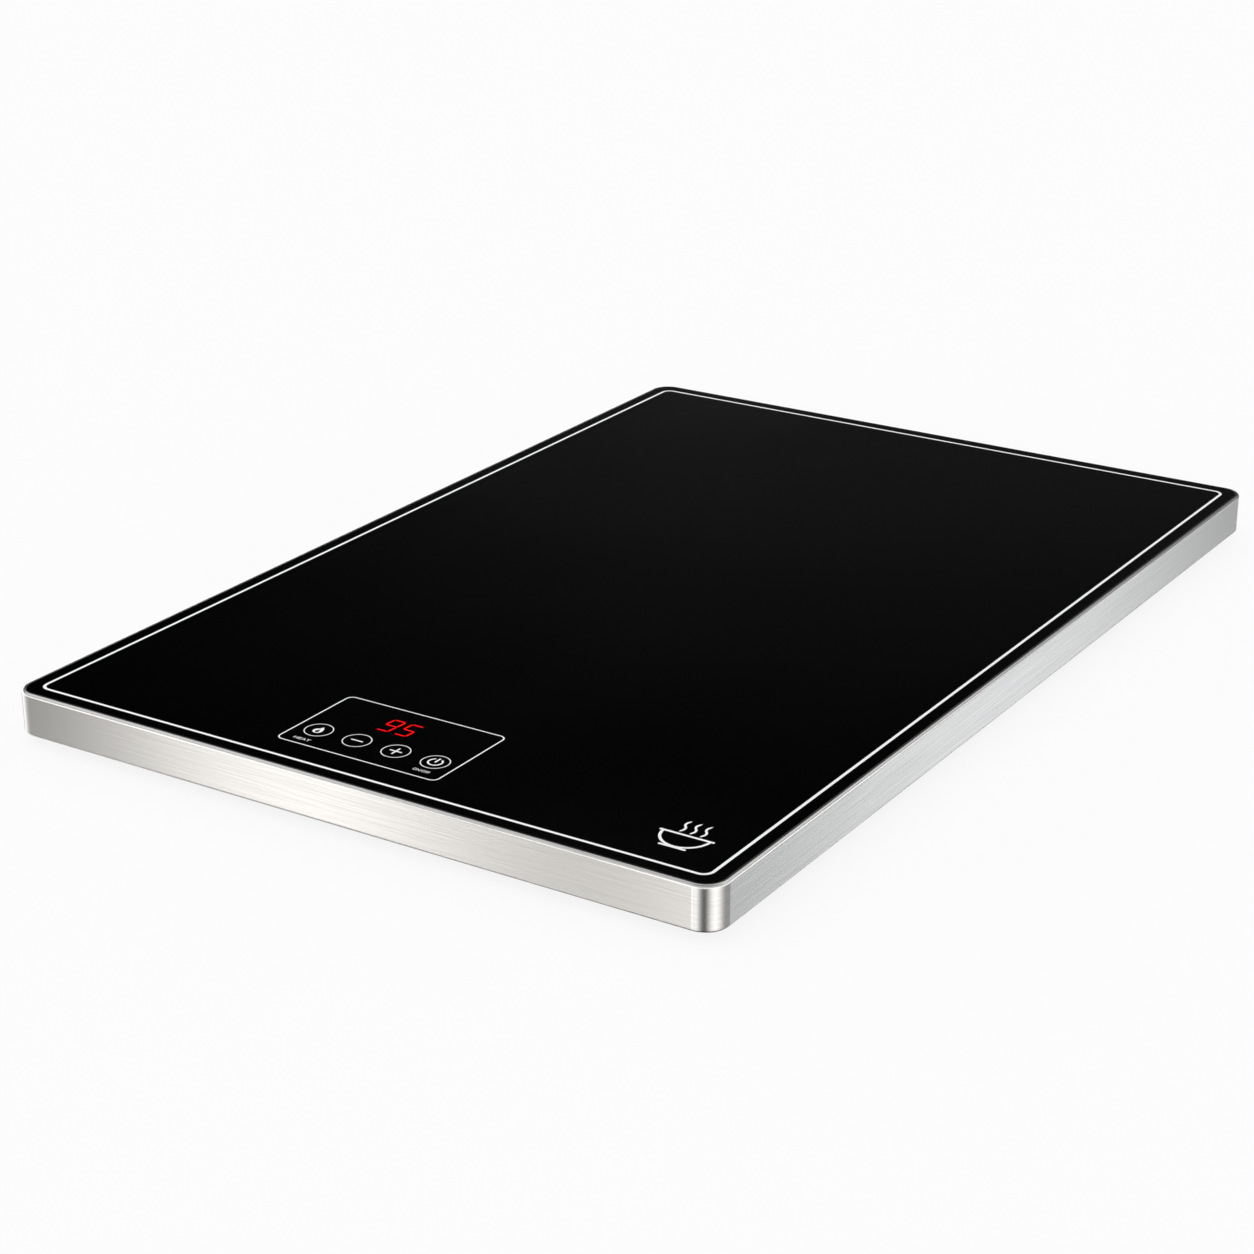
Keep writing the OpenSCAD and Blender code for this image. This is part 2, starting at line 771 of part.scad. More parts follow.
module heat_barrier() color([0.72, 0.72, 0.72]) difference() {
    translate([-hot_w / 2, hot_front_y, cover_top_z]) {
        translate([0, -barrier_t, 0]) cube([hot_w, barrier_t, glass_z - barrier_gap - cover_top_z]);
        translate([0, -barrier_foot, 0]) cube([hot_w, barrier_foot, barrier_t]);
    }
    barrier_openings();
    at_barrier_screws() translate([0, 0, cover_top_z - 1]) cylinder(r = m3_r, h = 4);
}

module barrier_screws() color("silver") at_barrier_screws() translate([0, 0, frame_z]) m3_screw_up(4);

module thermal_cutout() color([0.3, 0.18, 0.1]) translate([cutout_x, service_y, spreader_z]) {
    translate([0, 0, -3]) cylinder(r = 8, h = 3);
    translate([0, 0, wire_z - spreader_z - 1.5]) cylinder(r = 7, h = spreader_z - wire_z - 1);
    difference() {
        translate([0, 0, -cutout_ear_t]) linear_extrude(cutout_ear_t)
            bar(cutout_ear_pitch + 2 * cutout_ear_r, 2 * cutout_ear_r);
        for (s = [-1, 1]) translate([s * cutout_ear_pitch / 2, 0, -2]) cylinder(r = m3_hole_r, h = 4);
    }
    translate([-cutout_tab_x, -1.5, wire_z - spreader_z - tab_t / 2]) cube([2 * cutout_tab_x, 3, tab_t]);
}

module plate_screws() color("silver") at_plate_screws()
    translate([0, 0, -cutout_ear_t]) m3_screw_up(cutout_ear_t + spreader_t * 0.8);

// A glass bead and its two leads, down to the control board
module temperature_sensor() color("white") {
    bead_front_y = service_y - sensor_half;
    land_y = panel_y + control_d / 2 - 5;
    rod([sensor_x, bead_front_y, sensor_z], [sensor_x, service_y + sensor_half, sensor_z], 2 * sensor_r);
    for (s = [-0.8, 0.8]) wire([
        [sensor_x + s, bead_front_y, sensor_z],
        [sensor_x + s, land_y, sensor_z],
        [sensor_x + s, land_y, control_top_z]
    ], 0.9, 2);
}

module sensor_clip() color("silver") translate([sensor_x, service_y, spreader_z]) difference() {
    union() {
        translate([-3.5, -3, -2 * sensor_r - 0.8]) cube([7, 6, 2 * sensor_r + 0.8]);
        translate([0, -3, -cutout_ear_t]) cube([clip_hole_x + 3.5, 6, cutout_ear_t]);
    }
    translate([0, -4, sensor_z - spreader_z]) rotate([-90, 0, 0]) cylinder(r = sensor_r, h = 8);
    translate([clip_hole_x, 0, -2]) cylinder(r = m3_hole_r, h = 3);
}

// ---- Control board, under the touch panel ----

module control_board() color([0.05, 0.3, 0.15]) difference() {
    translate([panel_x, panel_y, control_z]) block(control_w, control_d, pcb_t);
    at_control_holes() translate([0, 0, control_z - 1]) cylinder(r = m3_hole_r, h = pcb_t + 2);
}

module control_posts() color("gold") at_control_holes()
    translate([0, 0, cover_top_z]) tube(post_r, m3_r, control_z - cover_top_z);

module control_screws() color("silver") at_control_holes()
    translate([0, 0, control_top_z]) m3_screw(pcb_t + 4);

module display_module() color([0.12, 0.12, 0.12]) difference() {
    translate([display_x, display_y, control_top_z]) block(display_w, display_d, display_h);
    translate([0, 0, control_top_z + display_h - 0.3]) linear_extrude(1) digits_shape(eight, eight);
}

module touch_pads() color([0.55, 0.4, 0.2]) at_keys()
    translate([0, 0, control_top_z]) cylinder(r = pad_r, h = glass_z - control_top_z);

module controller_chip() color([0.1, 0.1, 0.1])
    translate([chip_x, chip_y, control_top_z]) block(chip_side, chip_side, chip_h);

module beeper() color([0.1, 0.1, 0.1])
    translate([beeper_x, display_y, control_top_z]) tube(beeper_r, 1, beeper_h);

module board_connectors() color("ivory") {
    translate([control_connector_x, connector_y, control_top_z]) block(connector_w, connector_d, connector_h);
    translate([power_connector_x, connector_y, power_top_z]) block(connector_w, connector_d, connector_h);
}

// Four wires from one connector to the other, down the step between the boards
module signal_wires() color("orange") {
    from_x = control_connector_x + connector_w / 2;
    to_x = power_connector_x - connector_w / 2;
    mid_x = (from_x + to_x) / 2;
    from_z = control_top_z + connector_h / 2;
    to_z = power_top_z + connector_h / 2;
    for (i = [0:3]) {
        y = connector_y + (i - 1.5) * 2.5;
        wire([[from_x, y, from_z], [mid_x, y, from_z], [mid_x, y, to_z], [to_x, y, to_z]], 1.2, 1.5);
    }
}

// ---- Power board ----

module power_board() color([0.75, 0.62, 0.35]) difference() {
    translate([power_x, power_y, power_z]) block(power_w, power_d, pcb_t);
    at_power_holes() translate([0, 0, power_z - 1]) cylinder(r = m3_hole_r, h = pcb_t + 2);
}

module power_posts() color("gold") at_power_holes() translate([0, 0, cover_top_z]) tube(post_r, m3_r, post_h);

module power_screws() color("silver") at_power_holes()
    translate([0, 0, power_top_z]) m3_screw(pcb_t + post_h * 0.8);

module terminal_block() color([0.1, 0.45, 0.3]) difference() {
    translate([pole_x - pole_pitch / 2, block_rear_y - block_d, power_top_z])
        cube([poles * pole_pitch, block_d, block_h]);
    for (i = [0:poles - 1]) translate([pole_x + i * pole_pitch, block_rear_y, wire_z]) {
        rotate([90, 0, 0]) translate([0, 0, -1]) cylinder(r = pole_hole_r, h = wire_in + 1);
        translate([0, -block_d / 2 - 1, power_top_z + block_h - wire_z - 1]) cylinder(r = 1.6, h = 2);
    }
}

module at_fuse_ends() for (s = [-1, 1])
    translate([part_x + s * (fuse_len / 2 - 2.8), fuse_y, power_top_z]) children();

module fuse_tube() color([0.85, 0.85, 0.8]) translate([part_x - fuse_len / 2, fuse_y, fuse_z])
    rotate([0, 90, 0]) {
        cylinder(r = fuse_r - 0.2, h = fuse_len);
        for (x = [0, fuse_len - 5]) translate([0, 0, x]) cylinder(r = fuse_r, h = 5);
    }

module fuse_clips() color("gold") at_fuse_ends() difference() {
    block(4, 2 * fuse_r + 1.2, fuse_z - power_top_z + 1.6);
    translate([-3, 0, fuse_z - power_top_z]) rotate([0, 90, 0]) cylinder(r = fuse_r, h = 6);
}

module line_capacitor() color([0.8, 0.65, 0.1])
    translate([part_x, line_cap_y, power_top_z]) block(18, 8.5, 11.5);

module filter_capacitor() color([0.1, 0.15, 0.3])
    translate([filter_x, filter_y, power_top_z]) cylinder(r = 5, h = 12);

module transformer() color([0.75, 0.7, 0.3]) translate([transformer_x, transformer_y, power_top_z]) {
    block(16, 12, 1.5);
    translate([0, 0, 1.5]) block(16, 5, 10.5);
    translate([0, 0, 1.5]) block(9, 14, 9);
}

// ---- Relay: a coil pulls the hinged armature down on its core and closes the contact ----

module in_relay() translate([relay_x, relay_y, power_top_z]) children();

module relay_base() color([0.1, 0.1, 0.1]) in_relay() block(relay_w, relay_d, relay_base_h);

module relay_coil() color([0.72, 0.35, 0.12]) in_relay()
    translate([coil_x, 0, relay_base_h + steel_t]) tube(coil_r, core_r, coil_h);

module relay_yoke() color("silver") in_relay() difference() {
    union() {
        translate([coil_x - coil_r, -steel_w / 2, relay_base_h])
            cube([yoke_x + steel_t - coil_x + coil_r, steel_w, steel_t]);
        translate([yoke_x, -steel_w / 2, relay_base_h]) cube([steel_t, steel_w, hinge_z - relay_base_h]);
        translate([coil_x, 0, relay_base_h]) cylinder(r = core_r, h = pole_z - relay_base_h);
    }
    translate([hinge_x, -steel_w, hinge_z]) rotate([-90, 0, 0])
        cylinder(r = hinge_r + hinge_play, h = 2 * steel_w);
}

// The armature as it stands at rest, lifted from the core by its closing angle
module relay_armature() color([0.8, 0.8, 0.78]) in_relay()
    translate([hinge_x, 0, hinge_z]) rotate([0, armature_deg, 0]) translate([-hinge_x, 0, -hinge_z]) {
        translate([contact_x - contact_r, -steel_w / 2, plate_z])
            cube([hinge_x + hinge_r - contact_x + contact_r, steel_w, steel_t]);
        translate([hinge_x, -steel_w / 2, hinge_z]) rotate([-90, 0, 0]) cylinder(r = hinge_r, h = steel_w);
        translate([contact_x, 0, plate_z - contact_h]) cylinder(r = contact_r, h = contact_h + eps);
    }

// The fixed contact on its bent strip
module relay_contacts() color("gold") in_relay() {
    button_z = plate_z - contact_h - contact_gap - contact_h;
    strip_x = contact_x - contact_r - leaf_t;
    translate([strip_x, -2, relay_base_h]) cube([leaf_t, 4, button_z - relay_base_h]);
    translate([strip_x, -2, button_z - leaf_t]) cube([2 * contact_r + leaf_t, 4, leaf_t]);
    translate([contact_x, 0, button_z - eps]) cylinder(r = contact_r, h = contact_h + eps);
}

module relay_cover() color([0.2, 0.3, 0.6]) in_relay() difference() {
    translate([0, 0, relay_base_h]) block(relay_w, relay_d, relay_h - relay_base_h);
    translate([0, 0, relay_base_h - 1])
        block(relay_w - 2 * relay_wall, relay_d - 2 * relay_wall, relay_h - relay_base_h + 1 - relay_wall);
}

// ---- Mains inlet ----

module socket_shape() {
    translate([0, pin_up - 0.4]) bar(2 * (lobe_x + lobe_r), 2 * lobe_r);
    translate([0, -earth_down + 0.6]) circle(lobe_r);
}

module inlet_housing() color([0.1, 0.1, 0.1]) difference() {
    at_inlet() {
        translate([-inlet_w / 2, -sheet_t, -nose_h / 2]) cube([inlet_w, sheet_t, nose_h]);
        translate([-inlet_flange_w / 2, -sheet_t - inlet_flange_t, -inlet_h / 2])
            cube([inlet_flange_w, inlet_flange_t, inlet_h]);
        translate([-inlet_w / 2, -socket_depth - inlet_wall, -inlet_h / 2])
            cube([inlet_w, socket_depth + inlet_wall - sheet_t, inlet_h]);
    }
    at_inlet() translate([0, 1, 0]) rotate([90, 0, 0]) linear_extrude(socket_depth + 1) socket_shape();
    at_inlet_screws() cylinder(r = m3_hole_r, h = 8);
    at_pins() rod([0, -socket_depth - inlet_wall - 1, 0], [0, 1 - socket_depth, 0], 2 * pin_r);
}

module at_pins() at_inlet() {
    for (s = [-1, 1]) translate([s * pin_x, 0, pin_up]) children();
    translate([0, 0, -earth_down]) children();
}

module inlet_pins() color("gold") at_pins() {
    rod([0, -socket_depth - inlet_wall - 1, 0], [0, pin_out - socket_depth - pin_r, 0], 2 * pin_r);
    translate([0, pin_out - socket_depth - pin_r, 0]) sphere(pin_r);
    translate([-tab_w / 2, -socket_depth - inlet_wall - tab_len, -tab_t / 2]) cube([tab_w, tab_len, tab_t]);
}

module inlet_studs() color("silver") at_inlet_screws() cylinder(r = m3_r, h = sheet_t + inlet_flange_t + 4);

module inlet_nuts() color("silver") at_inlet_screws()
    translate([0, 0, sheet_t + inlet_flange_t]) hex_nut(5.5, m3_r, 2.4);

// ---- Wires ----

// Line and neutral: along the rear strip, down the left channel, then to their terminals
module mains_wires() color([0.35, 0.2, 0.1]) for (i = [0, 1]) {
    side_x = channel_x - (1 - i) * wire_step;
    run_y = inlet_run_y + (1 - i) * wire_step;
    front_y = corridor_y - (1 - i) * wire_step;
    from_x = inlet_x + (2 * i - 1) * pin_x;
    to_x = pole_x + i * pole_pitch;
    wire([
        [from_x, tab_end_y, wire_z], [from_x, run_y, wire_z], [side_x, run_y, wire_z],
        [side_x, front_y, wire_z], [to_x, front_y, wire_z], [to_x, block_rear_y - wire_in, wire_z]
    ], wire_d);
}

module earth_wire() color([0.3, 0.55, 0.15]) {
    z = inlet_z - earth_down;
    wire([[inlet_x, tab_end_y, z], [inlet_x, earth_y, z], [earth_x - ring_r, earth_y, z]], 2);
    translate([earth_x, earth_y, ring_z]) tube(ring_r + 1, m4_r, ring_t);
}

module earth_bolt() color("gold") translate([earth_x, earth_y, 0]) {
    translate([0, 0, frame_z]) rotate([180, 0, 0])
        pan_screw(m4_r, m4_head_r, m4_head_h, ring_z + ring_t + m4_nut_h + 1 - frame_z);
    translate([0, 0, cover_top_z]) cylinder(d = m4_nut / cos(30), h = ring_z - cover_top_z, $fn = 6);
    translate([0, 0, ring_z + ring_t]) cylinder(d = m4_nut / cos(30), h = m4_nut_h, $fn = 6);
}

// The heater's cold ends: one goes through the cut-out, both end in the terminal block
module heater_leads() color([0.9, 0.88, 0.8]) {
    near_x = pole_x + (poles - 2) * pole_pitch;
    far_x = near_x + pole_pitch;
    block_in_y = block_rear_y - wire_in;
    wire([
        [cable_x(0), mat_front_y, cable_z], [cable_x(0), service_y, cable_z],
        [cable_x(0), service_y, wire_z], [near_x, service_y, wire_z], [near_x, block_in_y, wire_z]
    ], cable_d, lead_bend_r);
    wire([
        [far_x, block_in_y, wire_z], [far_x, service_y, wire_z], [cutout_x - cutout_tab_x, service_y, wire_z]
    ], cable_d, lead_bend_r);
    wire([
        [cutout_x + cutout_tab_x, service_y, wire_z], [cable_x(cable_turns - 1), service_y, wire_z],
        [cable_x(cable_turns - 1), service_y, cable_z], [cable_x(cable_turns - 1), mat_front_y, cable_z]
    ], cable_d, lead_bend_r);
}

// Posts on the flange that hold the two wires of the channel
module wire_clips() color("ivory") for (k = clip_ys)
    translate([channel_x - wire_step / 2, k * tray_d, 0]) difference() {
        translate([0, 0, flange_top_z]) block(clip_w, clip_d, wire_z + 3 - flange_top_z);
        for (s = [-0.5, 0.5]) translate([s * wire_step, 0, 0]) {
            translate([0, clip_d, wire_z]) rotate([90, 0, 0]) cylinder(d = wire_d, h = 2 * clip_d);
        }
    }

side_frame();
glass_top();
glass_seal();
border_print();
panel_print();
heat_mark();
bottom_cover();
cover_screws();
foot_front_left();
foot_front_right();
foot_rear_left();
foot_rear_right();
foot_screws();
foot_nuts();
heat_spreader();
heating_cable();
insulation_mat();
heat_shield();
shield_spacers();
shield_screws();
heat_barrier();
barrier_screws();
thermal_cutout();
temperature_sensor();
sensor_clip();
plate_screws();
control_board();
control_posts();
control_screws();
display_module();
display_digits();
touch_pads();
controller_chip();
beeper();
board_connectors();
power_board();
power_posts();
power_screws();
terminal_block();
fuse_tube();
fuse_clips();
line_capacitor();
filter_capacitor();
transformer();
relay_base();
relay_coil();
relay_yoke();
relay_contacts();
relay_armature();
relay_cover();
inlet_housing();
inlet_pins();
inlet_studs();
inlet_nuts();
mains_wires();
earth_wire();
earth_bolt();
heater_leads();
signal_wires();
wire_clips();
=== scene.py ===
import json
import math

import bmesh
import bpy
import numpy as np
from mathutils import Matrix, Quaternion, Vector


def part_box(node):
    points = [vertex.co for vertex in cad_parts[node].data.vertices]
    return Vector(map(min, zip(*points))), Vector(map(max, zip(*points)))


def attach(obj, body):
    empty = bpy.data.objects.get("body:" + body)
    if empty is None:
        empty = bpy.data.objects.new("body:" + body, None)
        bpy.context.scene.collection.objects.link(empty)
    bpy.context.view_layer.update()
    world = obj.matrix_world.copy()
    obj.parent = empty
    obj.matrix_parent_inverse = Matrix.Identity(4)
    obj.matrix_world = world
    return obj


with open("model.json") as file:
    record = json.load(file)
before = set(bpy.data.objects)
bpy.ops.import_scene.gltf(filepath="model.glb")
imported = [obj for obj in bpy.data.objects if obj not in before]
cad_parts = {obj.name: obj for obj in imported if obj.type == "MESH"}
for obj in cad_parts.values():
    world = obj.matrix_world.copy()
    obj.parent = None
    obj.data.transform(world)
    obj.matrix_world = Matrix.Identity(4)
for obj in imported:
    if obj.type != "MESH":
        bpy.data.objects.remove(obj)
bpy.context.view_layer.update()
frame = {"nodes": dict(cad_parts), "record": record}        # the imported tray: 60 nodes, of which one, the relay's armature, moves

noiseSpan = (0.3, 0.7)  # most values of a noise lie between these


# Small helpers for node trees

def startFinish(name, **sockets):
    # An empty material with one Principled shader, whose plain values are set on its own sockets
    material = bpy.data.materials.new(name)
    material.use_nodes = True
    tree = material.node_tree
    tree.nodes.clear()
    shader = tree.nodes.new("ShaderNodeBsdfPrincipled")
    output = tree.nodes.new("ShaderNodeOutputMaterial")
    tree.links.new(shader.outputs["BSDF"], output.inputs["Surface"])
    for socket, value in sockets.items():
        shader.inputs[socket.replace("_", " ")].default_value = value
    return material, tree, shader


def add(tree, kind, inputs=None, **settings):
    # One node; inputs are values, or sockets to link from
    node = tree.nodes.new("ShaderNode" + kind)
    for key, value in settings.items():
        setattr(node, key, value)
    for key, value in (inputs or {}).items():
        if isinstance(value, bpy.types.NodeSocket):
            tree.links.new(value, node.inputs[key])
        else:
            node.inputs[key].default_value = value
    return node


def calc(tree, operation, *values):
    return add(tree, "Math", dict(enumerate(values)), operation=operation).outputs[0]


def remap(tree, value, span, result=(0.0, 1.0)):
    # Takes a value from one span to another, and holds it at the ends
    ends = dict(zip(("From Min", "From Max", "To Min", "To Max"), (*span, *result)))
    return add(tree, "MapRange", {"Value": value, **ends}).outputs[0]


def mingle(tree, first, second, share):
    # A share of the first value, and the second for the rest
    return calc(tree, "ADD", calc(tree, "MULTIPLY", first, share), calc(tree, "MULTIPLY", second, 1 - share))


def objectPoints(tree, stretch=(1, 1, 1), turn=(0, 0, 0)):
    # The point in the tray's own frame, in metres, with each axis multiplied by its stretch
    points = add(tree, "TexCoord").outputs["Object"]
    return add(tree, "Mapping", {"Vector": points, "Scale": stretch, "Rotation": turn}).outputs[0]


def noise(tree, points, scale, detail=2.0, raggedness=0.5):
    keys = {"Vector": points, "Scale": scale, "Detail": detail, "Roughness": raggedness}
    return add(tree, "TexNoise", keys).outputs[0]


def tone(colour, factor):
    return tuple(min(1.0, c * factor) for c in colour)


def shade(tree, shader, value, colour, tones, socket="Base Color"):
    # The colour times the first tone where the value is 0, and times the second where it is 1
    mix = add(tree, "Mix", {"Factor": value}, data_type="RGBA")
    mix.inputs[6].default_value = (*tone(colour, tones[0]), 1)
    mix.inputs[7].default_value = (*tone(colour, tones[1]), 1)
    tree.links.new(mix.outputs[2], shader.inputs[socket])


def gloss(tree, shader, value, roughness, span=noiseSpan):
    # The first roughness at the span's low end, and the second at its high end
    tree.links.new(remap(tree, value, span, roughness), shader.inputs["Roughness"])


def emboss(tree, shader, height, depth, strength=1.0):
    # Height from 0 to 1 raises the surface by a depth in metres
    bump = add(tree, "Bump", {"Height": height, "Distance": depth, "Strength": strength})
    tree.links.new(bump.outputs[0], shader.inputs["Normal"])


# The brushed frame

frameFinish = dict(
    colour=(0.58, 0.573, 0.562), tones=(0.90, 1.10),  # steel, slightly warm
    width=0.400, depth=0.600, corner=0.012,  # outline that the brushing follows
    fine=dict(pitch=0.00045, length=0.045, detail=3.0), coarse=dict(pitch=0.0016, length=0.1125, detail=2.0),
    fineShare=0.6, raggedness=0.6, scratchDepth=0.000004,
    roughness=(0.21, 0.17),  # in the scratches, and between them
    anisotropy=1.0, glossTurn=0.25,  # the gloss is drawn out across the brushing, a quarter turn from it
)


def brushedSteel(s=frameFinish):
    # The streaks run round the frame: "along" is |x| - |y|, which has no step at the corners, and "across" is
    # the height less the distance in from the outline, which carries on from the side over the top edge
    material, tree, shader = startFinish("brushedSteel", Metallic=1.0, Anisotropic=s["anisotropy"],
                                         Anisotropic_Rotation=s["glossTurn"])
    x, y, z = add(tree, "SeparateXYZ", {0: objectPoints(tree)}).outputs
    absX, absY = calc(tree, "ABSOLUTE", x), calc(tree, "ABSOLUTE", y)
    overX = calc(tree, "SUBTRACT", absX, s["width"] / 2 - s["corner"])
    overY = calc(tree, "SUBTRACT", absY, s["depth"] / 2 - s["corner"])
    squares = [calc(tree, "POWER", calc(tree, "MAXIMUM", over, 0.0), 2.0) for over in (overX, overY)]
    reach = calc(tree, "SQRT", calc(tree, "ADD", *squares))
    nearest = calc(tree, "MINIMUM", calc(tree, "MAXIMUM", overX, overY), 0.0)
    inset = calc(tree, "SUBTRACT", calc(tree, "SUBTRACT", s["corner"], reach), nearest)
    across = calc(tree, "SUBTRACT", z, inset)
    along = calc(tree, "SUBTRACT", absX, absY)

    def streaks(pitch, length, detail):
        place = {0: calc(tree, "DIVIDE", along, length), 1: calc(tree, "DIVIDE", across, pitch)}
        return noise(tree, add(tree, "CombineXYZ", place).outputs[0], 1.0, detail, s["raggedness"])

    brush = mingle(tree, streaks(**s["fine"]), streaks(**s["coarse"]), s["fineShare"])
    shade(tree, shader, remap(tree, brush, noiseSpan), s["colour"], s["tones"])
    gloss(tree, shader, brush, s["roughness"])
    emboss(tree, shader, brush, s["scratchDepth"])

    # Brushed along X on the front and rear, along Y on the sides, with a mitre in the corners
    sideways = calc(tree, "GREATER_THAN", overX, overY)
    direction = add(tree, "CombineXYZ", {0: calc(tree, "SUBTRACT", 1.0, sideways), 1: sideways}).outputs[0]
    tree.links.new(direction, shader.inputs["Tangent"])
    return material


# Glass, ink and light

glassFinish = dict(
    colour=(0.0008, 0.0008, 0.0010), tones=(0.8, 1.3), roughness=(0.05, 0.08), specular=0.5,
    smearSize=0.11, smearSpan=(0.35, 0.75), detail=4.0, raggedness=0.6,
)


def blackGlass(s=glassFinish):
    # Polished black glass, with a faint uneven haze that only shows in its reflections
    material, tree, shader = startFinish("blackGlass", Specular_IOR_Level=s["specular"])
    smear = noise(tree, objectPoints(tree), 1 / s["smearSize"], s["detail"], s["raggedness"])
    gloss(tree, shader, smear, s["roughness"], s["smearSpan"])
    shade(tree, shader, smear, s["colour"], s["tones"])
    return material


inkFinish = dict(
    colour=(0.93, 0.93, 0.925), tones=(0.93, 1.04), roughness=(0.50, 0.34), specular=0.3,
    grain=0.0004, detail=3.0, raggedness=0.7, relief=0.00001, reliefStrength=0.4,
)


def printedInk(s=inkFinish):
    # Screen printed enamel: a very fine unevenness in tone and gloss
    material, tree, shader = startFinish("whiteInk", Specular_IOR_Level=s["specular"])
    speck = noise(tree, objectPoints(tree), 1 / s["grain"], s["detail"], s["raggedness"])
    shade(tree, shader, remap(tree, speck, noiseSpan), s["colour"], s["tones"])
    gloss(tree, shader, speck, s["roughness"])
    emboss(tree, shader, speck, s["relief"], s["reliefStrength"])
    return material


segmentFinish = dict(
    colour=(1.0, 0.006, 0.004), tones=(0.3, 0.5), glow=0.75, glowTones=(0.88, 1.0),
    roughness=0.06, grain=0.0004,
)


def litSegments(s=segmentFinish):
    # A lit segment: an even red glow, with the fine specks of its diffuser in it
    material, tree, shader = startFinish("litSegments", Roughness=s["roughness"], Emission_Strength=s["glow"])
    speck = noise(tree, objectPoints(tree), 1 / s["grain"])
    shade(tree, shader, remap(tree, speck, noiseSpan), s["colour"], s["glowTones"], "Emission Color")
    shade(tree, shader, speck, s["colour"], s["tones"])
    return material


# Rubber and plastic

moulded = dict(  # what the moulded parts share, unless their own row says otherwise
    roughness=0.42, spread=0.08, mottle=0.08, specular=0.4,
    grain=0.0006, relief=0.00002, detail=3.0, raggedness=0.6,
    driftScale=60, grainShare=0.35, span=(0.35, 0.65),
)
wire = dict(roughness=0.34, grain=0.0012, relief=0.00001)
mouldedParts = dict(
    black_plastic=dict(name="blackPlastic", colour=(0.018, 0.018, 0.019)),
    brown_plastic=dict(name="brownPlastic", colour=(0.10, 0.045, 0.02)),
    white_plastic=dict(name="whitePlastic", colour=(0.70, 0.68, 0.60)),
    green_plastic=dict(name="greenPlastic", colour=(0.03, 0.22, 0.11)),
    blue_plastic=dict(name="bluePlastic", colour=(0.035, 0.09, 0.30)),
    yellow_plastic=dict(name="yellowPlastic", colour=(0.62, 0.44, 0.04)),
    black_silicone=dict(name="blackSilicone", colour=(0.006, 0.006, 0.006), roughness=0.5, grain=0.0015),
    red_silicone=dict(name="redSilicone", colour=(0.42, 0.03, 0.018), roughness=0.5, grain=0.002),
    black_rubber=dict(name="blackRubber", colour=(0.014, 0.014, 0.014), roughness=0.7, grain=0.0008,
                      relief=0.00005),
    wire_brown=dict(wire, name="wireBrown", colour=(0.13, 0.05, 0.018)),
    wire_green=dict(wire, name="wireGreen", colour=(0.16, 0.34, 0.03)),
    wire_white=dict(wire, name="wireWhite", colour=(0.72, 0.69, 0.60)),
)


def mouldedFinish(part):
    # Moulded plastic or rubber: spark-eroded grain, with a slow drift in tone over centimetres
    s = dict(moulded, **part)
    material, tree, shader = startFinish(s["name"], Specular_IOR_Level=s["specular"])
    points = objectPoints(tree)
    pebble = noise(tree, points, 1 / s["grain"], s["detail"], s["raggedness"])
    patches = mingle(tree, pebble, noise(tree, points, s["driftScale"]), s["grainShare"])
    shade(tree, shader, remap(tree, patches, s["span"]), s["colour"], (1 - s["mottle"], 1 + s["mottle"]))
    gloss(tree, shader, patches, (s["roughness"] - s["spread"], s["roughness"] + s["spread"]), s["span"])
    emboss(tree, shader, pebble, s["relief"])
    return material


# Metal inside

plated = dict(
    tones=(0.90, 1.10), roughness=(0.29, 0.15),
    lines=0.0005, lineStretch=(0.15, 0.15, 1), relief=0.000006,
    stainScale=180, detail=4.0, raggedness=0.65,
)
platedParts = dict(
    bright_steel=dict(name="brightSteel", colour=(0.62, 0.62, 0.61)),
    brass=dict(name="turnedBrass", colour=(0.68, 0.48, 0.19)),
)


def platedMetal(part):
    # Plated or turned metal: fine level lines left by the tool, and faint stains
    s = dict(plated, **part)
    material, tree, shader = startFinish(s["name"], Metallic=1.0)
    tool = noise(tree, objectPoints(tree, s["lineStretch"]), 1 / s["lines"])
    stain = noise(tree, objectPoints(tree), s["stainScale"], s["detail"], s["raggedness"])
    shade(tree, shader, remap(tree, stain, noiseSpan), s["colour"], s["tones"])
    gloss(tree, shader, stain, s["roughness"])
    emboss(tree, shader, tool, s["relief"])
    return material


zincFinish = dict(
    colour=(0.50, 0.51, 0.52), tones=(0.84, 1.12), roughness=(0.34, 0.5), metallic=0.95,
    spangle=0.007, bend=0.004, bendScale=220.0, relief=0.00001, reliefStrength=0.5,
)


def galvanisedSheet(s=zincFinish):
    # Zinc-coated sheet: angular crystals a few millimetres wide, each with its own tone and gloss
    material, tree, shader = startFinish("galvanisedSheet", Metallic=s["metallic"])
    points = objectPoints(tree)
    warp = add(tree, "TexNoise", {"Vector": points, "Scale": s["bendScale"], "Detail": 2.0}).outputs["Color"]
    bent = add(tree, "Mix", {"Factor": s["bend"], 4: points, 5: warp}, data_type="VECTOR").outputs[1]
    cells = add(tree, "TexVoronoi", {"Vector": bent, "Scale": 1 / s["spangle"]}, distance="MANHATTAN").outputs
    crystal = add(tree, "SeparateColor", {0: cells["Color"]}).outputs
    shade(tree, shader, crystal[0], s["colour"], s["tones"])
    gloss(tree, shader, crystal[1], s["roughness"], (0, 1))
    emboss(tree, shader, cells["Distance"], s["relief"], s["reliefStrength"])
    return material


rolledFinish = dict(
    colour=(0.72, 0.72, 0.74), tones=(0.92, 1.06), roughness=(0.3, 0.42), anisotropy=0.4,
    streakScale=900, streakStretch=(1, 0.02, 1), detail=3.0, raggedness=0.6, relief=0.000004,
)


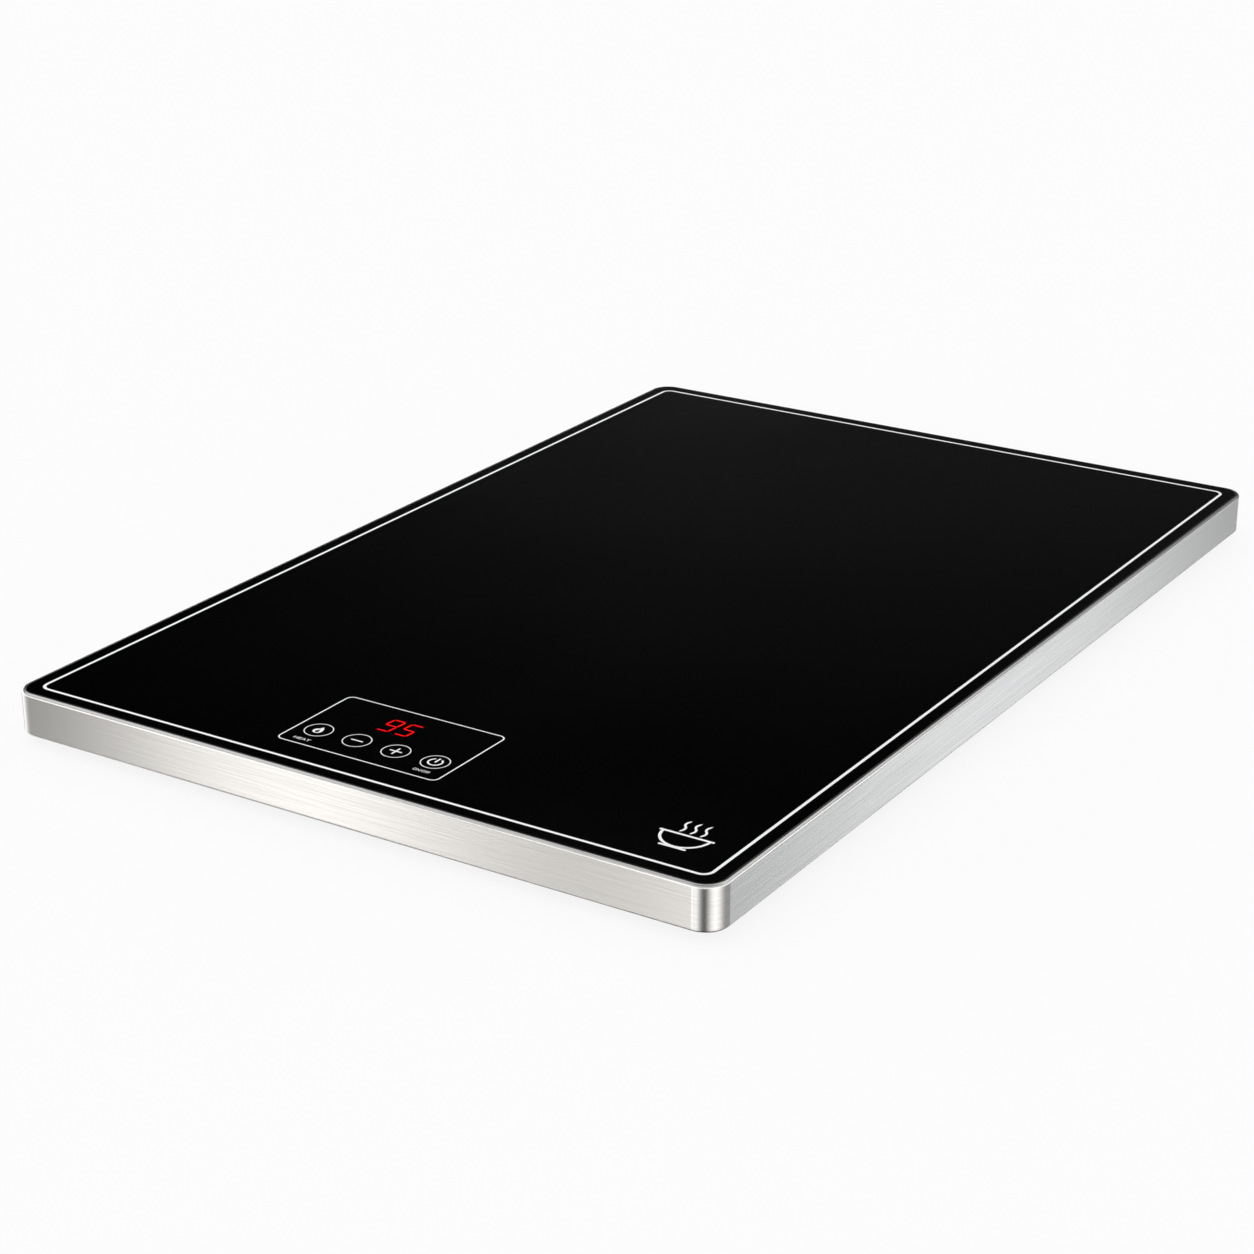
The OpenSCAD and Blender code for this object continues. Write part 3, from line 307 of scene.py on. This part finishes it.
def millAluminium(s=rolledFinish):
    # Rolled aluminium: long streaks along Y from the mill rolls
    material, tree, shader = startFinish("millAluminium", Metallic=1.0, Anisotropic=s["anisotropy"])
    roll = noise(tree, objectPoints(tree, s["streakStretch"]), s["streakScale"], s["detail"], s["raggedness"])
    shade(tree, shader, roll, s["colour"], s["tones"])
    gloss(tree, shader, roll, s["roughness"])
    emboss(tree, shader, roll, s["relief"])
    return material


# Wool, boards, the coil and glass tubes inside

woolFinish = dict(
    colour=(0.72, 0.67, 0.48), tones=(0.7, 1.15), roughness=0.95, specular=0.1, sheen=0.3,
    fibres=(((1, 0.08, 1), (0, 0, 0.5)), ((0.08, 1, 1), (0, 0, -0.3))),  # stretch and turn of each set
    fibreScale=1600, detail=4.0, raggedness=0.7, lumpScale=45, lumpDetail=3.0, fibreShare=0.5,
    span=(0.35, 0.7), relief=0.0006,
)


def mineralWool(s=woolFinish):
    # Pressed wool: tangled fibres at two angles, over soft lumps
    material, tree, shader = startFinish("mineralWool", Roughness=s["roughness"],
                                         Specular_IOR_Level=s["specular"], Sheen_Weight=s["sheen"])
    tangles = [noise(tree, objectPoints(tree, *lie), s["fibreScale"], s["detail"], s["raggedness"])
               for lie in s["fibres"]]
    lumps = noise(tree, objectPoints(tree), s["lumpScale"], s["lumpDetail"])
    height = mingle(tree, calc(tree, "MAXIMUM", *tangles), lumps, s["fibreShare"])
    shade(tree, shader, remap(tree, height, s["span"]), s["colour"], s["tones"])
    emboss(tree, shader, height, s["relief"])
    return material


boardFinish = dict(
    tones=(0.8, 1.5), roughness=(0.42, 0.3), specular=0.5, coat=0.3, coatRoughness=0.15,
    track=0.0022, trackEdge=(0.30, 0.36), weaveScale=2200, trackShare=0.6, relief=0.00003,
)
boards = dict(
    green_board=dict(name="greenBoard", colour=(0.012, 0.11, 0.035)),
    tan_board=dict(name="tanBoard", colour=(0.38, 0.24, 0.08)),
)


def circuitBoard(part):
    # Lacquered board: patches of copper show through as slightly paler, raised squares
    s = dict(boardFinish, **part)
    material, tree, shader = startFinish(s["name"], Specular_IOR_Level=s["specular"], Coat_Weight=s["coat"],
                                         Coat_Roughness=s["coatRoughness"])
    cells = add(tree, "TexVoronoi", {"Vector": objectPoints(tree), "Scale": 1 / s["track"]},
                distance="CHEBYCHEV", feature="F1").outputs["Distance"]
    tracks = remap(tree, cells, s["trackEdge"], (1.0, 0.0))
    pattern = mingle(tree, tracks, noise(tree, objectPoints(tree), s["weaveScale"]), s["trackShare"])
    shade(tree, shader, pattern, s["colour"], s["tones"])
    gloss(tree, shader, pattern, s["roughness"], (0, 1))
    emboss(tree, shader, tracks, s["relief"])
    return material


windingFinish = dict(
    colour=(0.56, 0.22, 0.08), tones=(0.55, 1.2), roughness=(0.45, 0.28), metallic=0.85,
    coat=0.6, coatRoughness=0.1, wireWidth=0.00025, waveScale=0.32, wander=0.4, relief=0.00006,
)


def enamelledWinding(s=windingFinish):
    # Copper wire laid in close turns about Z, under clear enamel
    material, tree, shader = startFinish("enamelledWinding", Metallic=s["metallic"], Coat_Weight=s["coat"],
                                         Coat_Roughness=s["coatRoughness"])
    keys = {"Vector": objectPoints(tree), "Scale": s["waveScale"] / s["wireWidth"], "Distortion": s["wander"],
            "Detail": 1.0}
    turns = add(tree, "TexWave", keys, bands_direction="Z").outputs[1]
    shade(tree, shader, turns, s["colour"], s["tones"])
    gloss(tree, shader, turns, s["roughness"], (0, 1))
    emboss(tree, shader, turns, s["relief"])
    return material


tubeFinish = dict(
    colour=(0.86, 0.88, 0.84), tones=(0.9, 1.05), roughness=(0.04, 0.12), transmission=0.75, ior=1.47,
    runScale=700, runStretch=(0.2, 1, 1),
)


def clearGlass(s=tubeFinish):
    # Drawn glass tube, with a faint run in it
    material, tree, shader = startFinish("clearGlass", Transmission_Weight=s["transmission"], IOR=s["ior"])
    run = noise(tree, objectPoints(tree, s["runStretch"]), s["runScale"])
    shade(tree, shader, run, s["colour"], s["tones"])
    gloss(tree, shader, run, s["roughness"])
    return material


# A finish for each material slot of the record

singleFinishes = dict(
    brushed_steel=brushedSteel, black_glass=blackGlass, white_ink=printedInk, red_light=litSegments,
    zinc_steel=galvanisedSheet, aluminium=millAluminium, mineral_wool=mineralWool, copper=enamelledWinding,
    sensor_glass=clearGlass,
)


def finishFor(slot):
    if slot in singleFinishes:
        return singleFinishes[slot]()
    families = ((mouldedFinish, mouldedParts), (platedMetal, platedParts), (circuitBoard, boards))
    return next(maker(parts[slot]) for maker, parts in families if slot in parts)


finishes = {}
for part in frame["record"]["subparts"]:
    slot = part["material_slot"]
    if slot not in finishes:
        finishes[slot] = finishFor(slot)
    frame["nodes"][part["node"]].material_slots[0].material = finishes[slot]
print("finishes:", len(finishes), "for", len(frame["nodes"]), "nodes")


# The small words by the outer keys

words = dict(
    heat=dict(text="HEAT", centre=(-0.0433, -0.2701), width=0.0094, height=0.0021),
    power=dict(text="ON/OFF", centre=(0.0250, -0.2690), width=0.0093, height=0.0021),
)
wordPrint = dict(rise=0.00002, curveSteps=3, mergeWithin=1e-7)  # in metres, but for the steps of each curve


def printWord(name, s, glassTop, ink=wordPrint):
    # Letters as a thin closed slab that stands a hair out of the glass: their points are scaled to the word's
    # width and height, and moved to its centre
    curve = bpy.data.curves.new(name, "FONT")
    curve.body = s["text"]
    curve.extrude = 1.0  # any thickness will do, because the slab is stretched to its own
    curve.resolution_u = ink["curveSteps"]
    letters = bpy.data.objects.new(name + "Letters", curve)
    bpy.context.scene.collection.objects.link(letters)
    mesh = bpy.data.meshes.new_from_object(letters.evaluated_get(bpy.context.evaluated_depsgraph_get()))
    bpy.data.objects.remove(letters)
    points = np.empty(len(mesh.vertices) * 3)
    mesh.vertices.foreach_get("co", points)
    points = points.reshape(-1, 3)
    low, high = points.min(axis=0), points.max(axis=0)
    size = np.array([s["width"], s["height"], 2 * ink["rise"]])
    middle = np.array([*s["centre"], glassTop])
    points = middle + ((points - low) / (high - low) - 0.5) * size
    mesh.vertices.foreach_set("co", points.ravel())
    shape = bmesh.new()
    shape.from_mesh(mesh)
    bmesh.ops.remove_doubles(shape, verts=shape.verts, dist=ink["mergeWithin"])
    bmesh.ops.recalc_face_normals(shape, faces=shape.faces)
    shape.to_mesh(mesh)
    shape.free()
    mesh.materials.clear()
    mesh.materials.append(finishes["white_ink"])
    piece = bpy.data.objects.new(name, mesh)
    bpy.context.scene.collection.objects.link(piece)
    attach(piece, "tray")


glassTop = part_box("glass_top")[1][2]
for key, word in words.items():
    printWord(key + "_word", word, glassTop)
print("words:", len(words))


# The table, the room and the lights

studio = dict(
    floorRadius=16.0, floorRings=24, floorSpokes=96, floorColour=0.13, floorFill=0.85,
    topStrength=0.7, topAngle=70, topFrom=(-0.25, -0.35, 1.0),
    # What metal and glass mirror, from below upwards: each layer's brightness, and the degrees above the
    # table between which it takes over from the last
    tableGlow=0.12, tentFrom=(-62, -50),
    bandGlow=2.35, bandFrom=(-12, -4),
    gapGlow=0.35, gapFrom=(12, 16),
    ceilingGlow=1.1, ceilingFrom=(28, 33),
    zenithGlow=0.28, zenithFrom=(50, 70),
    bandRearGlow=0.2, bandTurn=(0.80, 0.885),  # the band dims between these values of y of the direction
    flagBearing=-147, flagEdge=(0.73, 0.85),  # a dark screen in the gap, across from the camera
    flagLow=(18.5, 0.036), flagHigh=(24.5, 0.004),  # its height in degrees and brightness there
    flagFade=(-0.66, -0.50),  # it fades to black where x of the direction is below the first
)
warm, plain, cool = (1.0, 0.975, 0.94), (1.0, 0.99, 0.98), (0.95, 0.975, 1.0)
tent = [  # bearing in degrees from the front, towards the right; brightness; tint
    (-180, 1.20, plain), (-118, 0.05, plain), (-109, 1.60, plain), (-92, 1.60, plain), (-80, 1.00, plain),
    (-56, 0.40, warm), (-43.5, 0.10, warm), (-41, 2.70, warm), (-39, 2.80, plain), (-37, 1.35, warm),
    (-34, 0.40, warm), (-31.5, 0.60, warm), (-30, 1.80, warm), (-26, 2.20, plain), (-18, 1.45, plain),
    (-10, 1.65, plain), (0, 1.05, plain), (10, 0.40, plain), (20, 0.05, plain), (29, 0.05, plain),
    (42, 0.67, plain), (55, 1.45, plain), (70, 1.85, plain), (85, 1.60, plain), (100, 0.93, warm),
    (115, 0.42, warm), (140, 0.35, cool), (150, 0.50, cool), (155, 2.40, cool), (159.5, 0.15, cool),
    (163, 0.20, plain), (180, 1.20, plain),
]


def makeFloor(s=studio):
    # A disc on a polar grid, with rings that widen as the square of their number
    rings, spokes = s["floorRings"], s["floorSpokes"]
    radius = s["floorRadius"] * (np.arange(rings + 1) / rings) ** 2
    angle = np.linspace(0, 2 * math.pi, spokes, endpoint=False)
    r, a = np.meshgrid(radius[1:], angle, indexing="ij")
    points = np.stack([r * np.cos(a), r * np.sin(a), np.zeros_like(r)], axis=-1).reshape(-1, 3)
    points = np.vstack([points, [[0, 0, 0]]])
    i, j = np.meshgrid(np.arange(rings - 1), np.arange(spokes), indexing="ij")
    inner, outer, k = i * spokes, (i + 1) * spokes, (j + 1) % spokes
    quads = np.stack([inner + j, outer + j, outer + k, inner + k], -1).reshape(-1, 4)
    middle = [(len(points) - 1, n, (n + 1) % spokes) for n in range(spokes)]
    mesh = bpy.data.meshes.new("tableTop")
    mesh.from_pydata(points.tolist(), [], quads.tolist() + middle)
    floor = bpy.data.objects.new("tableTop", mesh)
    bpy.context.scene.collection.objects.link(floor)
    mesh.materials.append(tableFinish(s))
    floor.visible_glossy = False  # metal and glass mirror the tent, which goes on below the table's level


def tableFinish(s):
    # White table: a plain matt white that keeps shadows, with a fill that only the camera and glass see
    material = bpy.data.materials.new("tableWhite")
    material.use_nodes = True
    material.cycles.emission_sampling = "NONE"
    tree = material.node_tree
    tree.nodes.clear()
    ray = add(tree, "LightPath").outputs
    seen = calc(tree, "MAXIMUM", ray["Is Camera Ray"], ray["Is Transmission Ray"])
    white = s["floorColour"]
    matt = add(tree, "BsdfDiffuse", {"Color": (white, white, white, 1)})
    fill = add(tree, "Emission", {"Strength": calc(tree, "MULTIPLY", seen, s["floorFill"])})
    both = add(tree, "AddShader", {0: matt.outputs[0], 1: fill.outputs[0]})
    add(tree, "OutputMaterial", {"Surface": both.outputs[0]})
    return material


def makeRoom(s=studio):
    # Layers one above the other that metal and glass mirror; the camera sees plain white everywhere
    world = bpy.data.worlds.new("studio")
    world.use_nodes = True
    world.cycles.sampling_method = "NONE"
    tree = world.node_tree
    tree.nodes.clear()
    x, y, z = add(tree, "SeparateXYZ", {0: add(tree, "TexCoord").outputs["Generated"]}).outputs

    def byHeight(angles, result=(0.0, 1.0)):
        # Goes from the first result to the second between two heights in degrees
        return remap(tree, z, [math.sin(math.radians(angle)) for angle in angles], result)

    def blend(factor, first, second):
        mix = add(tree, "Mix", {"Factor": factor}, data_type="RGBA")
        for socket, value in ((mix.inputs[6], first), (mix.inputs[7], second)):
            if isinstance(value, bpy.types.NodeSocket):
                tree.links.new(value, socket)
            else:
                socket.default_value = (value, value, value, 1)
        return mix.outputs[2]

    # The tent: its brightness changes with the bearing
    bearing = calc(tree, "ARCTAN2", x, calc(tree, "MULTIPLY", y, -1.0))
    ramp = add(tree, "ValToRGB", {0: remap(tree, bearing, (-math.pi, math.pi))})
    stops = ramp.color_ramp.elements
    while len(stops) < len(tent):
        stops.new(1.0)
    brightest = max(level for degrees, level, tint in tent)
    for stop, (degrees, level, tint) in zip(stops, tent):
        stop.position = (degrees + 180) / 360
        stop.color = (*tone(tint, level / brightest), 1)
    tentLight = add(tree, "VectorMath", {0: ramp.outputs[0], "Scale": brightest},
                    operation="SCALE").outputs[0]

    # The band, which dims towards the rear
    band = blend(remap(tree, y, s["bandTurn"]), s["bandGlow"], s["bandRearGlow"])

    # The gap, with the screen that the glass mirrors
    (lowAt, low), (highAt, high) = s["flagLow"], s["flagHigh"]
    flag = calc(tree, "MULTIPLY", byHeight((lowAt, highAt), (low, high)), remap(tree, x, s["flagFade"]))
    turn = math.radians(s["flagBearing"])
    eastward = calc(tree, "MULTIPLY", x, math.sin(turn))
    northward = calc(tree, "MULTIPLY", y, math.cos(turn))
    facing = calc(tree, "SUBTRACT", eastward, northward)
    gap = blend(remap(tree, facing, s["flagEdge"]), s["gapGlow"], flag)

    light = blend(byHeight(s["tentFrom"]), s["tableGlow"], tentLight)
    light = blend(byHeight(s["bandFrom"]), light, band)
    light = blend(byHeight(s["gapFrom"]), light, gap)
    light = blend(byHeight(s["ceilingFrom"]), light, s["ceilingGlow"])
    light = blend(byHeight(s["zenithFrom"]), light, s["zenithGlow"])
    light = blend(add(tree, "LightPath").outputs["Is Camera Ray"], light, 1.0)
    background = add(tree, "Background", {"Color": light})
    add(tree, "OutputWorld", {"Surface": background.outputs[0]})
    bpy.context.scene.world = world


def aimed(thing, place, aim, roll=0.0):
    # Points a lamp or camera at a place, with its top upwards but for a roll in degrees
    turn = (Vector(place) - Vector(aim)).to_track_quat("Z", "Y")
    thing.location = place
    thing.rotation_mode = "QUATERNION"
    thing.rotation_quaternion = turn @ Quaternion((0, 0, 1), math.radians(roll))
    bpy.context.scene.collection.objects.link(thing)


def makeTopLight(s=studio):
    # A broad soft light from above; what metal and glass mirror is the ceiling instead
    lamp = bpy.data.lights.new("topLight", "SUN")
    lamp.energy = s["topStrength"]
    lamp.angle = math.radians(s["topAngle"])
    lampObject = bpy.data.objects.new("topLight", lamp)
    lampObject.visible_glossy = False
    aimed(lampObject, s["topFrom"], (0, 0, 0))


makeFloor()
makeRoom()
makeTopLight()
print("lights: tent with", len(tent), "levels, and a top light")


# Camera

view = dict(
    place=(0.7366, -1.2064, 0.5696), azimuth=32.625, elevation=21.889, roll=-0.151,
    lens=81.28, sensor=36.0, near=0.05, far=60.0,
)


def makeCamera(s=view):
    camera = bpy.data.cameras.new("camera")
    camera.lens, camera.sensor_width = s["lens"], s["sensor"]
    camera.clip_start, camera.clip_end = s["near"], s["far"]
    turn, tilt = math.radians(s["azimuth"]), math.radians(s["elevation"])
    ahead = Vector((-math.sin(turn) * math.cos(tilt), math.cos(turn) * math.cos(tilt), -math.sin(tilt)))
    cameraObject = bpy.data.objects.new("camera", camera)
    aimed(cameraObject, s["place"], Vector(s["place"]) + ahead, s["roll"])
    bpy.context.scene.camera = cameraObject


makeCamera()
bpy.context.scene.view_settings.view_transform = "Standard"
